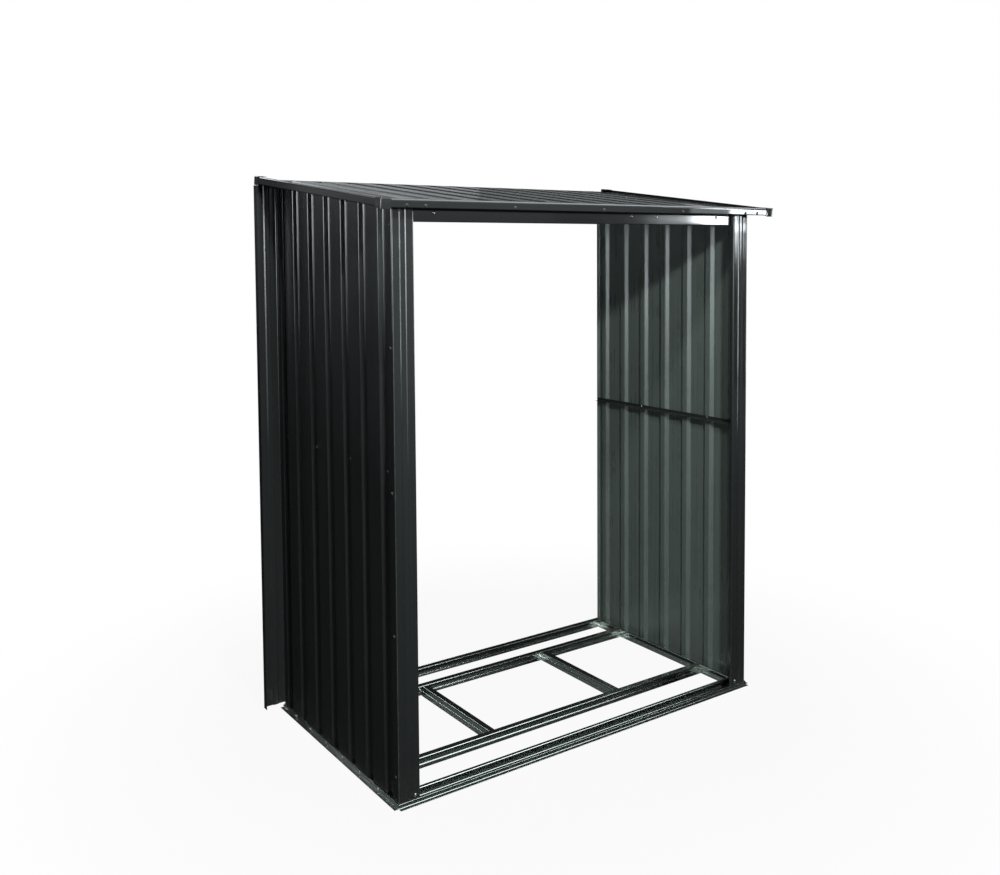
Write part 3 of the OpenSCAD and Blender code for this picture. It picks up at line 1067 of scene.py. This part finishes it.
def build_post_screws():
    """Screws of the posts and headers."""
    leg_y = Y_FRONT + POST_IN + LEG_SCREW_SET
    leg = [((-HALF_W + POST_IN, leg_y, z), (-1, 0, 0)) for z in LEG_SCREWS_Z]
    screw_set("post_leg_screws", both_sides(leg), dark_screw)

    wing = [((-HALF_W - WING_SCREW_OUT, Y_BACK - POST_IN, z), (0, 1, 0)) for z in WING_SCREWS_Z]
    screw_set("back_post_screws", both_sides(wing), dark_screw)

    foot_x = -HALF_W + POST_IN + FOOT_SCREW_SET
    ledge = [((foot_x, Y_FRONT + POST_IN, FOOT_SCREW_Z), (0, -1, 0))]
    screw_set("post_foot_screws", both_sides(ledge), zinc_plate)

    face_z = under_roof(HEADER_Y) - HEADER_SCREW_DROP
    face = [((x, HEADER_Y, face_z), (0, -1, 0)) for x in HEADER_SCREWS_X]
    screw_set("front_header_screws", face, zinc_plate)
    back_z = under_roof(BACK_HEADER_Y) - BACK_SCREW_DROP
    back_face = [((x, BACK_HEADER_Y, back_z), (0, 1, 0)) for x in BACK_SCREWS_X]
    screw_set("back_header_screws", back_face, dark_screw)


def build_roof_screws():
    """Screws of the roof sheets and fascias."""
    turn = ROOF.to_3x3()
    up = turn @ Vector((0, 0, 1))
    flats = [(a + b) / 2 for a, b in zip(ROOF_RIBS, ROOF_RIBS[1:])]
    row_y = -ROOF_LEN / 2 + ROOF_SCREW_SET
    spots = [(ROOF @ Vector((x, row_y, RIB_ALL)), up) for x in flats[::2]]
    screw_set("roof_screws", spots, dark_screw)

    front = turn @ Vector((0, -1, 0))
    back = turn @ Vector((0, 1, 0))
    half = ROOF_LEN / 2
    spots = [(ROOF @ Vector((x, -half, FASCIA_SCREW_Z)), front) for x in FASCIA_SCREWS_X]
    spots += [(ROOF @ Vector((x, half, BACK_FASCIA_SCREW_Z)), back) for x in FASCIA_SCREWS_X]
    screw_set("fascia_screws", spots, dark_screw)


# Studio

# Sizes in metres; LOW is just above the floor
LOW = 0.0003
FLOOR_HALF = 14.0
CLOTH_HALF = 6.0
OVERHEAD_Z = 4.6
AMBIENT = 0.04
SKY = (0.97, 0.985, 1.0, 1.0)
WHITE = (1.0, 1.0, 1.0, 1.0)
PAPER = (0.4, 0.4, 0.4, 1.0)
CARD_TINT = (0.93, 0.99, 1.03)
LAMP_SIZE = 0.22
LAMP_AIM = (0.4, 0.0, 0.9)
TOP_SIZE = 2.6
TOP_AIM = (0.0, 0.0, 1.0)


def plane_mesh(name, corners, material):
    """Flat stage panel from its corners."""
    body = bmesh.new()
    body.faces.new([body.verts.new(Vector(c)) for c in corners])
    mesh = bpy.data.meshes.new(name)
    body.to_mesh(mesh)
    body.free()
    mesh.materials.append(material)
    made = bpy.data.objects.new(name, mesh)
    bpy.context.scene.collection.objects.link(made)
    return made


def seen_plainly(tree):
    """Factor that is 1 for camera, glossy and transmission rays."""
    path = tree.nodes.new("ShaderNodeLightPath")
    total = add_math(tree, "ADD", path.outputs["Is Camera Ray"], path.outputs["Is Glossy Ray"])
    total = add_math(tree, "ADD", total, path.outputs["Is Transmission Ray"])
    return add_math(tree, "MINIMUM", total, 1.0)


def build_world():
    """White background with a plain level of soft light."""
    world = bpy.data.worlds.new("studio")
    bpy.context.scene.world = world
    world.use_nodes = True
    tree = world.node_tree
    tree.nodes.clear()
    out = tree.nodes.new("ShaderNodeOutputWorld")
    soft = add_node(tree, "ShaderNodeBackground", Color=SKY, Strength=AMBIENT)
    white = add_node(tree, "ShaderNodeBackground", Color=WHITE, Strength=1.0)
    mix = tree.nodes.new("ShaderNodeMixShader")
    tree.links.new(seen_plainly(tree), mix.inputs["Fac"])
    tree.links.new(soft.outputs["Background"], mix.inputs[1])
    tree.links.new(white.outputs["Background"], mix.inputs[2])
    tree.links.new(mix.outputs["Shader"], out.inputs["Surface"])


def floor_material():
    """Pale floor that runs out to white away from the store and keeps its shadow."""
    made, tree, out = empty_material("pale_floor")
    place = tree.nodes.new("ShaderNodeTexCoord").outputs["Object"]
    far = tree.nodes.new("ShaderNodeVectorMath")
    far.operation = "LENGTH"
    tree.links.new(place, far.inputs[0])
    open_floor = add_range(tree, far.outputs["Value"], 0.8, 2.2, 0.93, 1.0)
    paper = add_node(tree, "ShaderNodeBsdfDiffuse", Color=PAPER)
    white = add_node(tree, "ShaderNodeEmission", Color=WHITE, Strength=1.0)
    mix = tree.nodes.new("ShaderNodeMixShader")
    tree.links.new(add_math(tree, "MULTIPLY", seen_plainly(tree), open_floor), mix.inputs["Fac"])
    tree.links.new(paper.outputs["BSDF"], mix.inputs[1])
    tree.links.new(white.outputs["Emission"], mix.inputs[2])
    tree.links.new(mix.outputs["Shader"], out.inputs["Surface"])
    return made


def card_material(name, height, greys, gain):
    """Studio card whose grey goes through the given levels from the floor to its top, times a gain."""
    made, tree, out = empty_material(name)
    place = tree.nodes.new("ShaderNodeTexCoord").outputs["Object"]
    split = tree.nodes.new("ShaderNodeSeparateXYZ")
    tree.links.new(place, split.inputs["Vector"])
    ramp = tree.nodes.new("ShaderNodeValToRGB")
    tree.links.new(add_math(tree, "DIVIDE", split.outputs["Z"], height), ramp.inputs["Fac"])
    stops = ramp.color_ramp.elements
    while len(stops) < len(greys):
        stops.new(0.5)
    for stop, (z, grey) in zip(stops, greys):
        stop.position = z / height
        stop.color = (*(part * grey for part in CARD_TINT), 1.0)
    weave = add_noise(tree, place, 40.0, 2.0)
    glow = tree.nodes.new("ShaderNodeEmission")
    tree.links.new(ramp.outputs["Color"], glow.inputs["Color"])
    tree.links.new(add_range(tree, weave, 0.3, 0.7, 0.94 * gain, 1.06 * gain), glow.inputs["Strength"])
    tree.links.new(glow.outputs["Emission"], out.inputs["Surface"])
    made.cycles.emission_sampling = "NONE"
    return made


def for_reflections(obj):
    """Keeps a studio card out of all but the reflections."""
    obj.visible_camera = False
    obj.visible_diffuse = False
    obj.visible_shadow = False
    obj.visible_transmission = False


def card(name, start, end, greys, gain=1.0):
    """Upright studio card over a line on the floor, with (height, grey) levels."""
    low = greys[0][0]
    height = greys[-1][0]
    corners = [(*start, low), (*end, low), (*end, height), (*start, height)]
    for_reflections(plane_mesh(name, corners, card_material(name + "_paper", height, greys, gain)))


def canopy(name, start, end, z, gain):
    """Level studio card between two corners at one height."""
    corners = [(*start, z), (end[0], start[1], z), (*end, z), (start[0], end[1], z)]
    level = ((0.0, 1.0), (1.0, 1.0))
    for_reflections(plane_mesh(name, corners, card_material(name + "_paper", 1.0, level, gain)))


def area_lamp(name, place, target, size, power):
    """Square soft box that looks at a target."""
    data = bpy.data.lights.new(name, "AREA")
    data.shape = "RECTANGLE"
    data.size = size
    data.size_y = size
    data.energy = power
    made = bpy.data.objects.new(name, data)
    made.location = place
    made.rotation_euler = (Vector(target) - Vector(place)).to_track_quat("-Z", "Y").to_euler()
    bpy.context.scene.collection.objects.link(made)


def build_ring():
    """Ring of cards far round the store: dark near the floor and lighter above."""
    front_left, front, right_front = (-5.6, -3.0), (-1.6, -4.9), (3.0, -4.3)
    corner, right, back_right, back = (3.65, -3.625), (5.6, -1.6), (4.4, 3.8), (-1.0, 5.6)
    back_middle, back_left = (-2.75, 4.38), (-5.6, 2.4)
    lit_front = ((LOW, 0.08), (0.7, 0.30), (1.5, 0.44), (1.9, 0.68), (2.2, 0.85), (3.2, 0.6), (5.0, 0.2))
    lit_right = ((LOW, 0.02), (1.2, 0.05), (1.65, 0.16), (1.88, 0.5), (2.1, 0.6), (2.6, 0.25), (5.0, 0.05))
    bright_low = ((LOW, 0.08), (0.6, 0.34), (1.0, 0.34), (1.65, 0.2))
    lit_corner = bright_low + ((1.88, 0.5), (2.1, 0.6), (2.6, 0.25), (5.0, 0.05))
    dim_side = ((LOW, 0.10), (0.4, 0.22), (1.2, 0.34), (2.0, 0.42), (2.6, 0.3), (5.0, 0.05))
    dark_left = ((LOW, 0.01), (1.6, 0.02), (2.4, 0.05), (5.0, 0.05))
    soft_low = ((LOW, 0.02), (0.5, 0.05), (1.2, 0.10), (1.9, 0.19))
    soft_left = soft_low + ((2.0, 0.27), (2.2, 0.5), (3.2, 0.3), (5.0, 0.04))
    soft_back = ((LOW, 0.01), (0.5, 0.02), (1.2, 0.06), (1.9, 0.13), (2.3, 0.13), (3.2, 0.06), (5.0, 0.04))
    card("front_card", front, right_front, lit_front)
    card("corner_card", right_front, corner, lit_corner)
    card("right_front_card", corner, right, lit_right)
    card("right_card", right, back_right, dim_side)
    card("back_card", back_right, back, soft_back)
    card("back_middle_card", back, back_middle, soft_back)
    card("back_left_card", back_middle, back_left, soft_left)
    card("left_card", back_left, front_left, dark_left)
    card("front_left_card", front_left, front, dark_left)


def build_flags():
    """Flags close to the store, for the floor frame, the posts and the roof."""
    start, middle, corner, end = (-0.5, 1.72), (0.95, 1.62), (2.45, 1.51), (3.4, 1.44)
    low = ((LOW, 0.01), (0.7, 0.02), (1.1, 0.03), (1.8, 0.06))
    bright_roof = low + ((2.05, 0.26), (2.25, 0.55), (2.5, 0.1), (4.5, 0.02))
    dull_roof = low + ((2.05, 0.12), (2.25, 0.3), (2.5, 0.06), (4.5, 0.02))
    end_roof = low + ((2.05, 0.35), (2.25, 0.9), (2.5, 0.1), (4.5, 0.02))
    low_front = ((LOW, 0.03), (0.5, 0.06), (1.0, 0.2))
    card("bright_flag", start, middle, bright_roof)
    card("dull_flag", middle, corner, dull_roof)
    card("end_flag", corner, end, end_roof)
    card("low_front_flag", (-0.9, -1.6), (1.3, -1.25), low_front)
    card("low_right_flag", (1.3, -1.25), (2.6, -0.9), low_front)
    canopy("floor_cloth", (-CLOTH_HALF, -CLOTH_HALF), (CLOTH_HALF, CLOTH_HALF), LOW, 0.02)


def build_glows():
    """Bright boxes and an overhead card for the bends, the headers' ends and other narrow faces."""
    side = ((1.0, 0.0), (1.5, 0.2), (2.0, 1.0), (2.4, 1.0))
    near = ((0.2, 0.03), (1.0, 0.15), (1.75, 0.8), (1.95, 1.0), (2.05, 0.08), (2.6, 0.08))
    tall = ((0.3, 0.4), (1.2, 0.8), (2.4, 1.0))
    behind = ((3.0, 1.0), (4.8, 1.0))
    small = ((1.737, 1.0), (1.770, 1.0))
    box = ((1.6, 0.05), (1.68, 0.4), (1.8, 1.0), (2.7, 1.0))
    card("left_glow", (-4.4, 0.2), (-4.0, 2.2), side, 18.0)
    card("camera_glow", (-3.0, -4.5), (-3.7, -2.8), near, 20.0)
    card("camera_left_glow", (-3.7, -2.8), (-4.3, -2.35), near, 14.0)
    card("right_glow", (4.3, -2.4), (5.0, -0.6), tall, 12.0)
    canopy("overhead_glow", (-1.5, -4.2), (4.5, 0.5), OVERHEAD_Z, 5.0)
    card("right_box", (3.506, -3.242), (3.664, -3.068), box, 52.0)
    card("right_box_edge", (3.30, -3.47), (3.506, -3.242), box, 4.0)
    card("back_high_glow", (-1.8, 5.1), (0.1, 5.2), behind, 5.0)
    card("fascia_end_glow", (0.86, -0.688), (1.07, -0.679), small, 25.0)
    card("fascia_glow", (0.65, -0.697), (0.86, -0.688), small, 2.6)


def build_studio():
    """Floor, background, cards and lamps."""
    build_world()
    far = FLOOR_HALF
    corners = [(-far, -far, 0), (far, -far, 0), (far, far, 0), (-far, far, 0)]
    plane_mesh("floor", corners, floor_material())
    build_ring()
    build_flags()
    build_glows()
    area_lamp("key", (-1.25, -3.45, 3.25), LAMP_AIM, LAMP_SIZE, 125.0)
    area_lamp("high_key", (-0.9, -2.0, 3.85), LAMP_AIM, LAMP_SIZE, 45.0)
    area_lamp("top", (-0.4, 0.6, 4.6), TOP_AIM, TOP_SIZE, 12.0)


def build_camera():
    """The photograph's camera."""
    data = bpy.data.cameras.new("camera")
    data.sensor_width = 36.0
    data.lens = 36.385
    data.shift_x = 0.0274
    data.shift_y = -0.126
    made = bpy.data.objects.new("camera", data)
    place = Vector((-2.210, -2.957, 1.654))
    right = Vector((0.8280, -0.5606, -0.0084))
    up = Vector((0.0389, 0.0426, 0.9983))
    back = Vector((-0.5593, -0.8270, 0.0570))
    turn = Matrix((right, up, back)).transposed()
    made.matrix_world = Matrix.Translation(place) @ turn.to_4x4()
    bpy.context.scene.collection.objects.link(made)
    bpy.context.scene.camera = made


build_camera()
build_floor_frame()
build_posts()
build_walls()
build_roof()
build_rails()
build_headers()
build_trims()
build_wall_screws()
build_post_screws()
build_roof_screws()
build_studio()
bpy.context.scene.view_settings.view_transform = "Standard"
